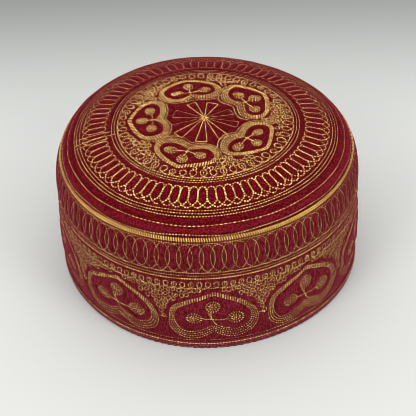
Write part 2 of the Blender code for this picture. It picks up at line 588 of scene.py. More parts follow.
def with_grain(tree, geometry):
    """The geometry with its own place noted on it, for the thread's twist."""
    where = result(tree, "GeometryNodeInputPosition", "Position")
    return with_note(tree, geometry, "grain", where, kind="FLOAT_VECTOR")


def aimed(tree, z_axis, x_axis, **lean):
    """A rotation to these two axes, and then a lean about its own X or Z."""
    axes = {"Primary Axis": z_axis, "Secondary Axis": x_axis}
    turned = result(tree, "FunctionNodeAxesToRotation", "Rotation", axes, primary_axis="Z", secondary_axis="X")
    by = {"Rotation": turned, "Rotate By": result(tree, "ShaderNodeCombineXYZ", "Vector", lean)}
    return result(tree, "FunctionNodeRotateRotation", "Rotation", by, rotation_space="LOCAL")


def set_out(tree, points, thread, rotation, scale, tone):
    """A piece of thread on every point, each with its own tone, as one mesh."""
    layout = {"Points": points, "Instance": thread, "Rotation": rotation, "Scale": scale}
    placed = result(tree, "GeometryNodeInstanceOnPoints", "Instances", layout)
    toned = with_note(tree, placed, "tone", tone, "INSTANCE")
    return result(tree, "GeometryNodeRealizeInstances", "Geometry", {"Geometry": toned})


def cord_tree(thread, core_thread, seed):
    """Bars of thread bent half way round a line, an even step apart and leaning a little, over a plain core."""
    tree, given, out = new_geometry_tree("oversewn cord")
    path = result(tree, "GeometryNodeMeshToCurve", "Curve", {"Mesh": given["Geometry"]})
    even = result(tree, "GeometryNodeResampleCurve", "Curve", {"Curve": path, "Count": CORD_WRAPS})
    round_core = {"Resolution": 8, "Radius": CORD_RADIUS}
    core_ring = result(tree, "GeometryNodeCurvePrimitiveCircle", "Curve", round_core)
    core = result(tree, "GeometryNodeCurveToMesh", "Mesh", {"Curve": even, "Profile Curve": core_ring})
    bend = {"Resolution": 8, "Radius": WRAP_RADIUS, "Start Angle": -WRAP_BEND / 2, "Sweep Angle": WRAP_BEND}
    arc = result(tree, "GeometryNodeCurveArc", "Curve", bend)
    strand = result(tree, "GeometryNodeCurvePrimitiveCircle", "Curve", {"Resolution": 6, "Radius": 0.5})
    flat = {"Geometry": strand, "Scale": (WRAP_HEIGHT, WRAP_WIDTH, 1.0)}
    flat_strand = result(tree, "GeometryNodeTransform", "Geometry", flat)
    filled = {"Curve": arc, "Profile Curve": flat_strand, "Fill Caps": True}
    bar = result(tree, "GeometryNodeCurveToMesh", "Mesh", filled)
    points = add_node(tree, "GeometryNodeCurveToPoints", {"Curve": even}, mode="EVALUATED").outputs
    where = result(tree, "GeometryNodeInputPosition", "Position")
    outward = vector_sum(tree, "MULTIPLY", where, (1.0, 1.0, 0.0))
    out_and_up = vector_sum(tree, "ADD", outward, (0.0, 0.0, OUT_TO_UP))
    leaning = aimed(tree, points["Tangent"], out_and_up, X=WRAP_LEAN)
    tone = random_value(tree, 0.0, 1.0, seed)
    bars = set_out(tree, points["Points"], with_grain(tree, bar), leaning, own_value(tree, "shown"), tone)
    both = tree.nodes.new("GeometryNodeJoinGeometry")
    for part, material in ((bars, thread), (core, core_thread)):
        dressed = result(tree, "GeometryNodeSetMaterial", "Geometry", {"Geometry": part, "Material": material})
        tree.links.new(dressed, both.inputs[0])
    smooth = result(tree, "GeometryNodeSetShadeSmooth", "Geometry", {"Geometry": both.outputs["Geometry"]})
    tree.links.new(smooth, out.inputs["Geometry"])
    return tree


cord_gold = gold_thread("gold thread of the cord", CORD_DEEP, CORD_LIGHT, CORD_METAL)
# The core is near black: partly its own dark brown, partly painted shade in the gaps between the wraps.
core_brown, tree, shader = new_material("brown core of the cord")
brown = mix_colours(tree, mottling(tree, object_place(tree), CORE_FINENESS), CORE_BLACK, CORE_BROWN)
finish_shader(tree, shader, brown, {"Roughness": 0.9})
seam = (BRAID_RADIUS - CORD_IN, BRAID_HEIGHT - CORD_DOWN)
round_the_seam = [sewn_shape(angle, *seam) for angle in full_turn(CORD_WRAPS)]
gold_cord = note_shown(line_object("gold_cord", [round_the_seam]), shown_on_cord)
work_nodes(gold_cord, cord_tree(cord_gold, core_brown, 3))
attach(gold_cord, "root")
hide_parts("edge_braid")


# The bound hem
# A narrow strip of dark maroon cloth folded up round the bottom edge and drawn in by its stitches, so that it
# swells a little between them. The kufi stands on the fold.
BINDING_HEIGHT = 0.0058
HEM_LOOSE = 0.0011
BINDING_OUT = HEM_RADIUS + HEM_LOOSE
BINDING_IN = HEM_RADIUS - WALL - HEM_LOOSE
BINDING_CLOTH = 0.0008
GATHERS = 146
GATHER_DEPTH = 0.00022
STEPS_A_GATHER = 6
HEM_MAROON = (0.188, 0.0125, 0.0285)
HEM_MAROON_DARK = (0.064, 0.0035, 0.0085)
HEM_SWELL = 0.0002
SWELL_AT = 0.55
HEM_RIB = 1500.0
HEM_MOTTLE = (0.3, 0.7)
HEM_FINISH = {
    "Roughness": 0.85,
    "Specular IOR Level": 0.1,
    "Sheen Weight": 0.1,
    "Sheen Tint": (1.0, 0.2, 0.3, 1.0),
}


def hem_cloth():
    """Closely woven matt cloth with a fine rib and a few brighter threads."""
    material, tree, shader = new_material("dark maroon hem cloth")
    rib = mottling(tree, object_place(tree), HEM_RIB, 2.0, 0.7)
    colour = mix_colours(tree, stretched(tree, rib, *HEM_MOTTLE), HEM_MAROON_DARK, HEM_MAROON)
    finish_shader(tree, shader, colour, HEM_FINISH, (rib, 0.5, 0.0003))
    return material


fold_turn = BINDING_CLOTH / 2
outer_fold = np.array(
    [
        (BINDING_OUT - BINDING_CLOTH, BINDING_HEIGHT - fold_turn),
        (BINDING_OUT - fold_turn, BINDING_HEIGHT),
        (BINDING_OUT, BINDING_HEIGHT - fold_turn),
        (BINDING_OUT + HEM_SWELL, SWELL_AT * BINDING_HEIGHT),
        (BINDING_OUT, 2 * fold_turn),
        (BINDING_OUT - fold_turn, 0.0),
        (BINDING_IN + fold_turn, 0.0),
        (BINDING_IN, 2 * fold_turn),
        (BINDING_IN, BINDING_HEIGHT - fold_turn),
        (BINDING_IN + fold_turn, BINDING_HEIGHT),
    ]
)
inner_fold = np.array(
    [
        (BINDING_OUT - BINDING_CLOTH, BINDING_CLOTH),
        (BINDING_IN + BINDING_CLOTH, BINDING_CLOTH),
        (BINDING_IN + BINDING_CLOTH, BINDING_HEIGHT - fold_turn),
    ]
)
hem_segments = STEPS_A_GATHER * GATHERS
bound_hem = spin_cloth("bound_hem", outer_fold, inner_fold, hem_segments, (hem_cloth(), cloth_back))
for vert in bound_hem.data.vertices:
    radius = math.hypot(vert.co.x - CENTRE_X, vert.co.y - CENTRE_Y)
    angle = math.atan2(vert.co.y - CENTRE_Y, vert.co.x - CENTRE_X)
    if radius > HEM_RADIUS:
        gather = GATHER_DEPTH * math.cos(GATHERS * angle)
        vert.co.x += gather * math.cos(angle)
        vert.co.y += gather * math.sin(angle)
pile_of[bound_hem] = GATHER_DEPTH
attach(bound_hem, "root")
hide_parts("hem_binding")


# The star in the middle of the top
# The embroidery is run stitch by stitch through the velvet, and each stitch draws the pile down beside it. The star
# is one thread that goes out and back in narrow wedges, and those that lie left to right have sunk into the pile.
GOLD_LIGHT = (1.00, 0.70, 0.23)
GOLD_DEEP = (0.46, 0.185, 0.030)
TOP_METAL = 0.08
STITCH = 0.0014
FINE_THREAD = 0.00068
THREAD = 0.00074
THREAD_RISE = 0.64
PILE_OPEN = 0.00052
PILE_REACH = 0.00128
STAR_WEDGES = (
    # left spoke, right spoke, reach, both spokes in degrees
    (255.0, 272.9, 0.0222),
    (292.0, 310.0, 0.0220),
    (334.8, 350.8, 0.0207),
    (12.7, 33.6, 0.0181),
    (59.4, 83.4, 0.0173),
    (105.9, 125.3, 0.0182),
    (149.9, 172.8, 0.0200),
    (214.7, 232.4, 0.0220),
    (193.8, 193.8, 0.0207),
)
STAR_HUB = 0.0008
HUB_STROKES = 9
HUB_REACH = 0.0030
SUNK_THREAD = 0.00022
SUNK_WITHIN = 35.0
SPOKE_POINTS = 12
FRONT = math.radians(-90.0)
TOP_SUNK = (
    # distance from the middle, share of the thread that is sunk there at the very back
    (0.048, 0.00),
    (0.054, 0.68),
    (0.073, 0.68),
    (0.077, 0.80),
    (0.084, 0.90),
)
SUNK_EASE = 0.8
SEATED = 0.15
STITCH_SHARES = (0.44, 0.56)
STITCH_ASKEW = 0.12
STITCH_TONES = (-0.3, 2.0)


def carried(tree, geometry, value, kind, domain="POINT"):
    """The geometry and the value worked out on it before it is changed."""
    capture = add_node(tree, "GeometryNodeCaptureAttribute", domain=domain)
    capture.capture_items.new(kind, "kept")
    tree.links.new(geometry, capture.inputs["Geometry"])
    tree.links.new(value, capture.inputs["kept"])
    return capture.outputs["Geometry"], capture.outputs["kept"]


def moved(tree, geometry, way, distance):
    """The geometry moved this way by the distance."""
    offset = result(tree, "ShaderNodeVectorMath", "Vector", {0: way, "Scale": distance}, operation="SCALE")
    return result(tree, "GeometryNodeSetPosition", "Geometry", {"Geometry": geometry, "Offset": offset})


def object_mesh(tree, obj):
    return result(tree, "GeometryNodeObjectInfo", "Geometry", {"Object": obj})


def press_tree():
    """Draws the surface down beside the stitch lines, and notes how much each point is pressed."""
    tree, given, out = new_geometry_tree("pile drawn down", Object=("Lines",), Float=("Depth",))
    lines = {0: object_mesh(tree, given["Lines"])}
    near = result(tree, "GeometryNodeProximity", "Distance", lines, target_element="EDGES")
    press = stretched(tree, near, PILE_REACH, PILE_OPEN, interpolation_type="SMOOTHSTEP")
    before = own_value(tree, "pressed")
    most = calculated(tree, "MAXIMUM", before, press)
    lift = calculated(tree, "MULTIPLY", calculated(tree, "SUBTRACT", before, most), given["Depth"])
    cloth, most = carried(tree, given["Geometry"], most, "FLOAT")
    cloth = moved(tree, cloth, result(tree, "GeometryNodeInputNormal", "Normal"), lift)
    tree.links.new(with_note(tree, cloth, "pressed", most), out.inputs["Geometry"])
    return tree


def stitch_tree():
    """Lays one stitch along each step of the lines, on the cloth, with small chances of length, turn and tone."""
    sizes = ("Stitch Length", "Overlap", "Thread Width", "Thread Height")
    others = {"Object": ("Cloth",), "Int": ("Seed",), "Material": ("Thread",)}
    tree, given, out = new_geometry_tree("laid stitches", Float=sizes, **others)
    path = result(tree, "GeometryNodeMeshToCurve", "Curve", {"Mesh": given["Geometry"]})
    spaced = {"Curve": path, "Length": given["Stitch Length"]}
    even = result(tree, "GeometryNodeResampleCurve", "Curve", spaced, mode="LENGTH")
    steps = result(tree, "GeometryNodeCurveToMesh", "Mesh", {"Curve": even})
    ends = add_node(tree, "GeometryNodeInputMeshEdgeVertices").outputs
    run = vector_sum(tree, "SUBTRACT", ends["Position 2"], ends["Position 1"])
    steps, run = carried(tree, steps, run, "VECTOR", "EDGE")
    points = result(tree, "GeometryNodeMeshToPoints", "Points", {"Mesh": steps}, mode="EDGES")
    normal = result(tree, "GeometryNodeInputNormal", "Normal")
    cloth = {"Mesh": object_mesh(tree, given["Cloth"]), "Value": normal}
    upward = result(tree, "GeometryNodeSampleNearestSurface", "Value", cloth, data_type="FLOAT_VECTOR")
    seated = moved(tree, points, upward, calculated(tree, "MULTIPLY", given["Thread Height"], SEATED))
    length = result(tree, "ShaderNodeVectorMath", "Value", {0: run}, operation="LENGTH")
    shown = own_value(tree, "shown")
    sizes = [calculated(tree, "MULTIPLY", length, given["Overlap"])]
    sizes += [calculated(tree, "MULTIPLY", given[size], shown) for size in ("Thread Width", "Thread Height")]
    for salt, size in enumerate(sizes):
        share = random_value(tree, *STITCH_SHARES, given["Seed"], salt)
        sizes[salt] = calculated(tree, "MULTIPLY", size, share)
    scale = result(tree, "ShaderNodeCombineXYZ", "Vector", dict(zip("XYZ", sizes)))
    askew = random_value(tree, -STITCH_ASKEW, STITCH_ASKEW, given["Seed"], 3)
    turned = aimed(tree, upward, run, Z=askew)
    grain = result(tree, "GeometryNodeMeshIcoSphere", "Mesh", {"Radius": 1.0, "Subdivisions": 1})
    smooth = result(tree, "GeometryNodeSetShadeSmooth", "Geometry", {"Geometry": with_grain(tree, grain)})
    tone = random_value(tree, *STITCH_TONES, given["Seed"], 4)
    laid = set_out(tree, seated, smooth, turned, scale, tone)
    dressed = {"Geometry": laid, "Material": given["Thread"]}
    tree.links.new(result(tree, "GeometryNodeSetMaterial", "Geometry", dressed), out.inputs["Geometry"])
    return tree


top_gold = gold_thread("gold metal thread", GOLD_DEEP, GOLD_LIGHT, TOP_METAL)
drawn_down = press_tree()
laid_stitches = stitch_tree()


def shown_on_top(place):
    """Outside the hearts the thread lies deeper in the pile towards the back, most of all at the edge."""
    radius = math.hypot(place.x, place.y)
    out = float(np.interp(radius, *zip(*TOP_SUNK)))
    return 1 - out * (0.5 - 0.5 * math.cos(math.atan2(place.y, place.x) - FRONT)) ** SUNK_EASE


shown_of = {velvet_top: shown_on_top, velvet_side: shown_on_side, bound_hem: shown_on_side}


def embroider(name, lines, cloth, thread, stitch=STITCH, width=THREAD, overlap=0.95, seed=1):
    """Sews the lines through the cloth: the pile is drawn down along them and a stitch lies on each step."""
    piece = note_shown(line_object(name, lines), shown_of[cloth])
    chart = line_object(name + "_chart", lines)
    work_nodes(cloth, drawn_down, Lines=chart, Depth=pile_of[cloth])
    bpy.data.objects.remove(chart)
    work_nodes(
        piece,
        laid_stitches,
        Stitch_Length=stitch,
        Overlap=overlap,
        Thread_Width=width,
        Thread_Height=THREAD_RISE * width,
        Cloth=cloth,
        Seed=seed,
        Thread=thread,
    )
    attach(piece, "root")
    return piece


def on_top(angle, radius):
    """The place on the top's velvet at this angle and, on the round cap, this radius."""
    return sewn_shape(angle, radius, float(np.interp(radius, top_line[:, 0], top_line[:, 1])))


def spoke(degrees, near, far):
    angle = math.radians(degrees)
    return [on_top(angle, near + (far - near) * i / SPOKE_POINTS) for i in range(SPOKE_POINTS + 1)]


star, sunk_star = [], []
for left, right, reach in STAR_WEDGES:
    out_and_back = spoke(left, STAR_HUB, reach)
    if right != left:
        out_and_back += spoke(right, STAR_HUB, reach)[::-1]
    off_across = min(abs((left + right) / 2 - across) for across in (0.0, 180.0, 360.0))
    (sunk_star if off_across < SUNK_WITHIN else star).append(out_and_back)
embroider("top_star", star, velvet_top, top_gold, width=FINE_THREAD, seed=11)
embroider("top_star_sunk", sunk_star, velvet_top, top_gold, width=SUNK_THREAD, seed=12)
hub = [spoke(360 * i / HUB_STROKES, 0.0, HUB_REACH) for i in range(HUB_STROKES)]
embroider("top_star_hub", hub, velvet_top, top_gold, stitch=0.0016, width=0.00070, overlap=0.8, seed=13)


# The rings and loops of the top
# Rows of running stitch go round the top, and between them one thread runs in teardrop loops, each crossing
# itself over the ring inside it and arching over to the next.
TOP_RINGS = (
    # name, radius, stitch, share of it that shows, thread
    ("inner_ring_1", 0.0530, 0.0017, 0.74, 0.00080),
    ("inner_ring_2", 0.0547, 0.0017, 0.74, 0.00080),
    ("inner_ring_3", 0.0564, 0.0017, 0.74, 0.00080),
    ("outer_ring_1", 0.0760, 0.0017, 0.76, 0.00084),
    ("outer_ring_2", 0.0777, 0.0017, 0.76, 0.00084),
    ("outer_ring_3", 0.0794, 0.0017, 0.76, 0.00084),
    ("edge_ring", 0.0837, 0.0025, 0.82, 0.00082),
    ("cord_ring", 0.08712, 0.0018, 0.68, 0.00095),
)
TOP_LOOPS = 81
TOP_LOOP_FIRST = 252.3
TOP_LOOP_START = 0.0595
TOP_LOOP_SIDE = (
    # share of a loop's spacing from its column, distance out from the band's inner edge
    (0.27, 0.0119),
    (0.470, 0.0100),
    (0.480, 0.0065),
    (0.465, 0.0028),
    (0.28, 0.0007),
)
TOP_LOOP_CROSSING = 0.0131
TOP_LOOP_ARCH = ((0.25, 0.0142), (0.50, 0.0149), (0.75, 0.0142))
RING_POINTS = 720
WANDER = 0.0004
LOOP_STEPS = 3
FASTENINGS = (
    # where the threads of the rings start and end, on the left: degrees, from radius, to radius
    (187.0, 0.0575, 0.0800),
    (190.5, 0.0520, 0.0790),
    (193.0, 0.0600, 0.0800),
)


def drawn_loop(side, start, turn):
    """A loop from its start down one side to its turn and back up the other, as places across and out."""
    return [(0.0, start), *side, (0.0, turn), *[(-across, out) for across, out in reversed(side)], (0.0, start)]


def wandering(angle, size, seed):
    """A slow uneven drift round the cap, as a hand-guided line has."""
    return size * noise.noise(Vector((3 * math.cos(angle), 3 * math.sin(angle), 7.3 * seed)))


def ring_round(place, size, seed, drift=WANDER):
    """A line all round the cap at this radius or height, wandering a little."""
    return [place(angle, size + wandering(angle, drift, seed)) for angle in full_turn(RING_POINTS)]


def charted(place, line):
    """The line of a flat chart as places on the cap."""
    return [place(point.x, point.y) for point in line]


def smooth_line(points, steps, closed=False, corners=()):
    """Points on a smooth curve through the given ones, sharp at the corners."""
    count = len(points)

    def slope(i, side):
        if i in corners or (not closed and i in (0, count - 1)):
            return points[(i + 1) % count] - points[i] if side > 0 else points[i] - points[i - 1]
        return (points[(i + 1) % count] - points[i - 1]) / 2

    curve = []
    for i in range(count if closed else count - 1):
        j = (i + 1) % count
        for step in range(steps):
            t = step / steps
            ease = t * t * (3 - 2 * t)
            bend = slope(i, 1) * (t * (1 - t) ** 2) - slope(j, -1) * (t * t * (1 - t))
            curve.append(points[i] * (1 - ease) + points[j] * ease + bend)
    curve.append(points[0] if closed else points[-1])
    return curve


for seed, (name, radius, stitch, shown, width) in enumerate(TOP_RINGS):
    ring = [ring_round(on_top, radius, seed)]
    embroider("top_" + name, ring, velvet_top, top_gold, stitch=stitch, width=width, overlap=shown, seed=20 + seed)

loop_spacing = 2 * math.pi / TOP_LOOPS
top_loop = [*drawn_loop(TOP_LOOP_SIDE, TOP_LOOP_CROSSING, 0.0), *TOP_LOOP_ARCH]
chart = []
for i in range(TOP_LOOPS):
    middle = math.radians(TOP_LOOP_FIRST) + (i - 0.5) * loop_spacing
    for across, out in top_loop:
        angle = middle + across * loop_spacing
        chart.append(Vector((angle, TOP_LOOP_START + out + wandering(angle, WANDER, 31), 0.0)))
loops = [charted(on_top, smooth_line(chart, LOOP_STEPS))]
embroider("top_loops", loops, velvet_top, top_gold, stitch=0.0017, width=0.00116, overlap=0.76, seed=40)
fastening = [spoke(degrees, near, far) for degrees, near, far in FASTENINGS]
embroider("top_fastenings", fastening, velvet_top, top_gold, width=0.00090, seed=41)


# The rings and loops of the side
# Under the cord one thread runs round the side in tall overlapping ovals, closed above by a thin row and below
# by thin rows and a thicker one.
SIDE_LOOPS = 92
SIDE_LOOP_FIRST = -110.2
SIDE_LOOP_MIDDLE = 0.0706
SIDE_LOOP_HALF_HEIGHT = 0.0096
SIDE_LOOP_SWING = math.radians(3.73)
POINTS_A_LOOP = 24
SIDE_GOLD_DEEP = (0.42, 0.170, 0.038)
SIDE_GOLD_LIGHT = (1.00, 0.67, 0.23)
SIDE_METAL = 0.40
SIDE_RINGS = (
    # name, height, stitch, thread
    ("top_ring", 0.0806, 0.0014, 0.00056),
    ("thin_ring_1", 0.0614, 0.0014, 0.00066),
    ("thin_ring_2", 0.0592, 0.0014, 0.00062),
    ("thick_ring", 0.0570, 0.0015, 0.00100),
    ("hem_ring", 0.0064, 0.0018, 0.00050),
)


def on_side(angle, height):
    """The place on the side's velvet at this angle and, on the round cap, this height."""
    return sewn_shape(angle, float(np.interp(height, side_line[::-1, 1], side_line[::-1, 0])), height)


# The side's thread is the top's gold made a little darker, painted shade for the wall, which the overhead light
# reaches less.
side_gold = gold_thread("duller gold metal thread", SIDE_GOLD_DEEP, SIDE_GOLD_LIGHT, SIDE_METAL)
for seed, (name, height, stitch, width) in enumerate(SIDE_RINGS, 50):
    thread = top_gold if name == "thick_ring" else side_gold
    ring = [ring_round(on_side, height, seed)]
    embroider("side_" + name, ring, velvet_side, thread, stitch=stitch, width=width, overlap=0.78, seed=seed)

loops = []
for i in range(SIDE_LOOPS * POINTS_A_LOOP + 1):
    turn = 2 * math.pi * i / POINTS_A_LOOP
    angle = math.radians(SIDE_LOOP_FIRST) + turn / SIDE_LOOPS - SIDE_LOOP_SWING * math.sin(turn)
    loops.append(on_side(angle, SIDE_LOOP_MIDDLE + SIDE_LOOP_HALF_HEIGHT * math.cos(turn)))
embroider("side_loops", [loops], velvet_side, side_gold, stitch=0.0014, width=0.00060, overlap=0.66, seed=60)


# The hearts of the top
# Five hearts point outwards round the star. Each is a band of close parallel lines with three satin blobs
# inside, and the blobs' stems meet in a small knot over the cleft.
TOP_HEARTS = (
    # in millimetres, from the point down the right to the cleft and back up the left: the inner line across and
    # out, and the outer line across and out, where out is from the middle of the cap
    (
        (0.0, 43.5, 0.0, 45.8), (5.5, 41.6, 6.5, 43.7), (10.5, 39.0, 12.0, 40.6), (14.5, 35.0, 17.5, 36.2),
        (15.5, 31.0, 19.3, 30.5), (14.0, 27.3, 18.0, 25.0), (9.5, 24.8, 11.5, 20.6), (4.5, 25.4, 5.5, 20.9),
        (-0.5, 29.0, -0.5, 22.9), (-4.0, 26.3, -4.5, 22.2), (-8.5, 25.3, -9.5, 21.9), (-13.0, 27.0, -15.0, 24.4),
        (-16.2, 31.0, -19.2, 30.0), (-16.0, 35.6, -18.8, 36.4), (-12.0, 39.7, -13.8, 41.4), (-6.0, 42.2, -6.8, 44.3),
    ),
    (
        (-0.7, 44.6, -0.8, 47.0), (5.0, 43.2, 5.5, 45.2), (10.5, 40.7, 12.0, 42.2), (15.5, 36.6, 18.3, 37.6),
        (16.6, 32.5, 20.2, 32.0), (14.5, 29.0, 17.8, 26.4), (9.0, 27.5, 10.0, 24.0), (4.0, 28.1, 4.2, 24.3),
        (-0.3, 30.2, 0.0, 25.4), (-3.8, 26.4, -3.0, 22.6), (-8.5, 24.1, -8.0, 20.3), (-13.3, 24.7, -14.8, 21.4),
        (-16.2, 29.0, -19.6, 27.3), (-16.2, 34.0, -19.6, 34.2), (-12.5, 38.3, -14.8, 39.9), (-6.5, 42.0, -7.6, 44.3),
    ),
    (
        (0.5, 43.9, 0.5, 46.3), (5.5, 41.9, 6.5, 44.2), (10.5, 39.0, 12.5, 41.0), (14.8, 35.2, 17.6, 36.2),
        (16.3, 31.0, 19.6, 31.0), (14.5, 27.6, 17.8, 25.4), (10.0, 26.4, 11.5, 22.1), (5.5, 27.0, 5.5, 22.2),
        (-0.5, 30.0, 0.3, 25.0), (-4.5, 28.5, -4.0, 24.7), (-9.0, 26.7, -9.0, 23.5), (-13.0, 27.2, -14.5, 24.3),
        (-16.4, 30.7, -19.0, 29.0), (-16.0, 34.9, -19.2, 35.2), (-11.5, 38.6, -14.0, 40.4), (-5.5, 41.3, -6.5, 43.6),
    ),
    (
        (-1.8, 44.3, -1.6, 46.6), (3.0, 42.4, 4.0, 44.3), (8.0, 39.6, 9.5, 41.4), (13.0, 35.3, 15.6, 36.3),
        (15.0, 31.0, 18.7, 31.0), (13.5, 28.0, 17.2, 25.6), (9.0, 26.4, 11.0, 21.5), (4.0, 26.9, 4.0, 21.3),
        (-0.8, 29.5, -0.8, 24.6), (-5.0, 27.1, -5.0, 23.2), (-9.5, 25.8, -10.0, 22.5), (-14.0, 26.9, -16.0, 24.4),
        (-17.8, 31.0, -20.6, 30.6), (-17.0, 35.4, -19.8, 36.0), (-12.5, 39.0, -14.5, 40.2), (-7.0, 42.1, -8.0, 43.9),
    ),
    (
        (-2.3, 44.8, -2.5, 47.3), (3.0, 42.6, 4.0, 44.8), (8.0, 39.0, 9.7, 41.0), (13.0, 35.0, 15.5, 35.6),
        (14.5, 30.5, 17.3, 30.0), (13.0, 26.5, 16.2, 24.2), (10.0, 24.7, 11.0, 19.6), (5.0, 26.2, 5.5, 20.4),
        (-0.7, 30.0, -0.5, 23.6), (-4.5, 27.0, -4.3, 21.9), (-9.0, 25.3, -9.5, 19.8), (-14.0, 27.3, -16.0, 23.2),
        (-17.5, 31.0, -20.6, 29.8), (-18.4, 36.0, -21.6, 36.4), (-13.5, 40.2, -15.5, 41.8), (-7.5, 43.1, -8.5, 45.3),
    ),
)
TOP_HEART_FACINGS = (105.0, 176.5, 250.2, 320.5, 33.0)
TOP_BLOBS = (
    # in millimetres, the top one, the left one and the right one: across, out, half its width, half its height
    ((0.2, 37.3, 3.4, 3.5), (-8.8, 31.7, 3.8, 2.6), (9.2, 30.8, 3.8, 3.3)),
    ((-1.0, 38.4, 3.3, 3.6), (-9.0, 31.2, 3.6, 3.4), (9.0, 34.0, 3.9, 3.3)),
    ((0.5, 38.5, 3.5, 3.4), (-8.8, 33.0, 3.5, 3.1), (9.7, 32.8, 3.9, 3.2)),
    ((-1.5, 38.3, 3.5, 3.1), (-9.8, 32.4, 3.6, 2.9), (9.0, 32.3, 4.0, 3.2)),
    ((-1.5, 38.6, 3.7, 4.1), (-10.0, 32.0, 3.9, 3.5), (8.3, 31.0, 3.4, 3.7)),
)
TOP_KNOTS = ((-0.6, 30.2), (-0.5, 31.4), (-0.3, 31.7), (-1.0, 31.5), (-0.8, 30.9))
BAND_LINES = 4
BAND_MARGIN = 0.10
TOP_BLOB_RINGS = (
    # strokes, start and end as shares of the blob's radius
    (12, 0.62, 1.00),
    (7, 0.24, 0.64),
    (3, 0.00, 0.30),
)
TOP_EGG = 0.25
STEM_STARTS = 0.42
STEM_BEND = 0.0004
TAIL = 0.0022
OUTER_LINE = 1.32
OUTLINE_STEPS = 8
STEM_STEPS = 4


def plan_of_top(x, y):
    return on_top(math.atan2(y, x), math.hypot(x, y))


def top_heart_chart(facing):
    """The way from a heart's own across and out to its place on the top."""
    ahead, aside = math.cos(math.radians(facing)), math.sin(math.radians(facing))
    return lambda across, out: plan_of_top(out * ahead + across * aside, out * aside - across * ahead)


def in_metres(lengths):
    return [length / 1000 for length in lengths]


def heart_outline(heart, share):
    """The heart's outline at this share of the way from its inner line to its outer one, sharp at point and cleft."""
    points = []
    for row in heart:
        in_across, in_out, out_across, out_out = in_metres(row)
        points.append(Vector((in_across, in_out, 0.0)).lerp(Vector((out_across, out_out, 0.0)), share))
    return smooth_line(points, OUTLINE_STEPS, True, (0, len(heart) // 2))


def heart_band(heart, place):
    """Close parallel lines from the heart's inner outline to its outer one."""
    shares = [BAND_MARGIN + (1 - 2 * BAND_MARGIN) * line / (BAND_LINES - 1) for line in range(BAND_LINES)]
    return [charted(place, heart_outline(heart, share)) for share in shares]


def blob_strokes(across, out, wide, tall, rings, knot, egg, place):
    """Satin strokes aimed at the blob's middle, ring inside ring, drawn out a little towards its stem."""
    stem = math.atan2(knot[1] - out, knot[0] - across)
    strokes = []
    for ring, (count, near, far) in enumerate(rings):
        for i in range(count):
            turn = 2 * math.pi * (i + 0.5 * ring) / count
            drawn = 1 + egg * max(0.0, math.cos(turn - stem)) ** 3
            ends = [drawn * share for share in (near, far)]
            stroke = [(across + end * wide * math.cos(turn), out + end * tall * math.sin(turn)) for end in ends]
            strokes.append([place(*end) for end in stroke])
    return strokes


bands, outsides, blobs, stems = [], [], [], []
for facing, heart, own_blobs, knot in zip(TOP_HEART_FACINGS, TOP_HEARTS, TOP_BLOBS, TOP_KNOTS):
    place = top_heart_chart(facing)
    bands += heart_band(heart, place)
    outline = charted(place, heart_outline(heart, OUTER_LINE))
    # The line outside the band runs only round the lobes and the cleft.
    outsides.append(outline[len(outline) // 3 : 3 * len(outline) // 4 + 4])
    knot = in_metres(knot)
    for blob in own_blobs:
        across, out, wide, tall = in_metres(blob)
        blobs += blob_strokes(across, out, wide, tall, TOP_BLOB_RINGS, knot, TOP_EGG, place)
        end = Vector((*knot, 0.0))
        near = Vector((across, out, 0.0)).lerp(end, STEM_STARTS)
        bent = near.lerp(end, 0.5) - Vector((0.0, STEM_BEND, 0.0))
        stems.append(charted(place, smooth_line([near, bent, end], STEM_STEPS)))
    stems.append([place(knot[0], knot[1] - TAIL * share) for share in (0.0, 0.5, 1.0)])
embroider("top_heart_bands", bands, velvet_top, top_gold, stitch=0.0017, width=0.00082, overlap=0.72, seed=70)
embroider("top_heart_outsides", outsides, velvet_top, top_gold, width=0.00056, seed=73)
embroider("top_heart_stems", stems, velvet_top, top_gold, width=0.00075, seed=71)
embroider("top_heart_blobs", blobs, velvet_top, top_gold, stitch=0.0012, width=0.00086, overlap=0.78, seed=72)


# The lace of the top
# A thread runs in small teardrops inside the rings, as long as the hearts leave room for, and the ground between
# the hearts is filled with ringlets, some of them with a stitch across.
LACE_LOOPS = 53
LACE_LOOP_FIRST = 241.0
LACE_ARCH = 0.0530
LACE_CROSSING = 0.0518
LACE_DEEPEST = 0.0462
LACE_SHORTEST = 0.0036
LACE_INNER = 0.0345
LACE_CLEAR = 0.0019
LACE_FILLED = 0.45
LACE_LOOP_SIDE = (
    # share of a loop's spacing from its column, share of the way out from its bottom to its crossing
    (0.20, 0.84),
    (0.33, 0.52),
    (0.28, 0.16),
)
LACE_UNEVEN = (0.9, 1.1)
LACE_STEP = 0.0002
LACE_FILL = (0.25, 0.80)
RINGLET = 0.00145
RINGLET_SPACING = 0.0032
RINGLET_CLEAR = 0.0017
RINGLET_DRIFT = 0.00035
RINGLET_SIZES = (0.85, 1.15)
RINGLET_SQUASHES = (0.8, 1.1)
RINGLET_POINTS = 10
CROSSED = 0.12
TINY = 1e-12


def clear_of(places, outlines, margin):
    """Which of the places lie outside every outline by more than the margin."""
    clear = np.ones(len(places), bool)
    for corners in outlines:
        side = np.roll(corners, -1, axis=0) - corners
        away = places[:, None] - corners
        reach = np.clip((away * side).sum(2) / np.maximum((side**2).sum(1), TINY), 0, 1)
        clear &= np.linalg.norm(away - reach[:, :, None] * side, axis=2).min(1) > margin
        above = corners[:, 1] > places[:, 1:]
        crossed = above != np.roll(above, -1, axis=1)
        at = corners[:, 0] + away[:, :, 1] * side[:, 0] / np.where(side[:, 1] == 0, TINY, side[:, 1])
        clear &= (crossed & (at > places[:, :1])).sum(1) % 2 == 0
    return clear


